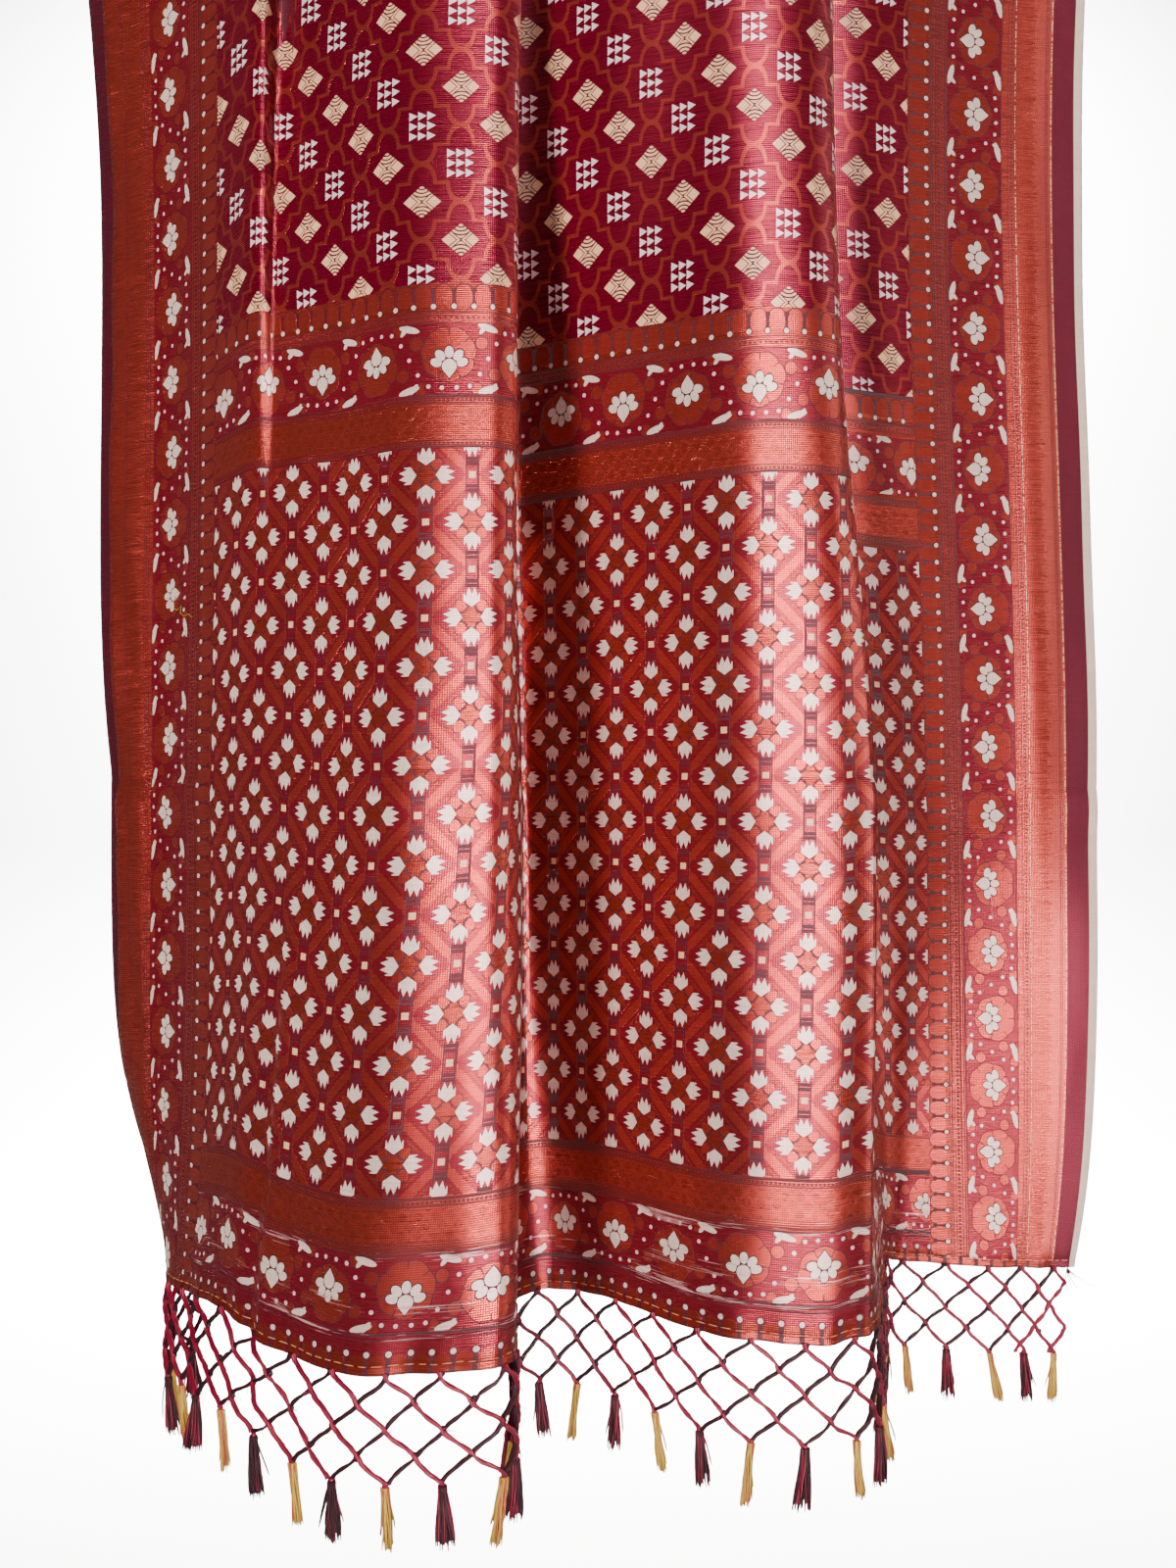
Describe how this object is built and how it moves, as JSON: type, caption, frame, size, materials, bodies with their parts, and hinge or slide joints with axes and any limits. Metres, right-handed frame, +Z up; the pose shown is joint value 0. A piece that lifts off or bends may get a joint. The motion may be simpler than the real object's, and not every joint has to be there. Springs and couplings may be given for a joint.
{
  "type": "saree hung over a wooden rod",
  "caption": "Saree with a woven pallu, side borders and a knotted net fringe with tassels, folded double and hung in pleats over a plain round rod.",
  "frame": {"origin": "the middle of the rod, on its axis, where the rod is held", "axes": "+X along the rod towards the cream selvedge, +Z up, and the pallu hangs on the -Y side"},
  "size_m": [0.9, 0.3539, 1.6129],
  "materials": {
    "beech_rod": "satin lacquered beech",
    "pallu_brocade": "maroon silk-cotton brocade with copper metal thread",
    "body_brocade": "maroon silk-cotton jacquard",
    "brocade_reverse": "matt reverse of the brocade",
    "cream_selvedge": "fine cream cotton twill",
    "maroon_yarn": "loosely twisted cotton yarn",
    "gold_yarn": "loosely twisted gold thread"
  },
  "bodies": {
    "root": {"rod": "beech_rod", "pallu_front": "pallu_brocade", "inner_front": "brocade_reverse", "back_double": "body_brocade", "fringe_net": "maroon_yarn", "tassel_01": "maroon_yarn", "tassel_02": "gold_yarn", "tassel_03": "maroon_yarn", "tassel_04": "gold_yarn", "tassel_05": "maroon_yarn", "tassel_06": "gold_yarn", "tassel_07": "maroon_yarn", "tassel_08": "gold_yarn", "tassel_09": "maroon_yarn", "tassel_10": "gold_yarn", "tassel_11": "maroon_yarn", "tassel_12": "gold_yarn", "tassel_13": "maroon_yarn", "tassel_14": "gold_yarn", "tassel_15": "maroon_yarn", "tassel_16": "gold_yarn", "tassel_17": "maroon_yarn", "tassel_18": "gold_yarn", "tassel_19": "maroon_yarn", "tassel_20": "gold_yarn", "tassel_21": "maroon_yarn", "tassel_22": "gold_yarn", "tassel_23": "maroon_yarn", "tassel_24": "gold_yarn", "tassel_25": "maroon_yarn", "tassel_26": "gold_yarn", "tassel_27": "maroon_yarn", "tassel_28": "gold_yarn", "tassel_29": "maroon_yarn", "tassel_30": "gold_yarn", "tassel_31": "maroon_yarn", "tassel_32": "gold_yarn", "tassel_33": "maroon_yarn", "tassel_34": "gold_yarn"}
  },
  "joints": []
}
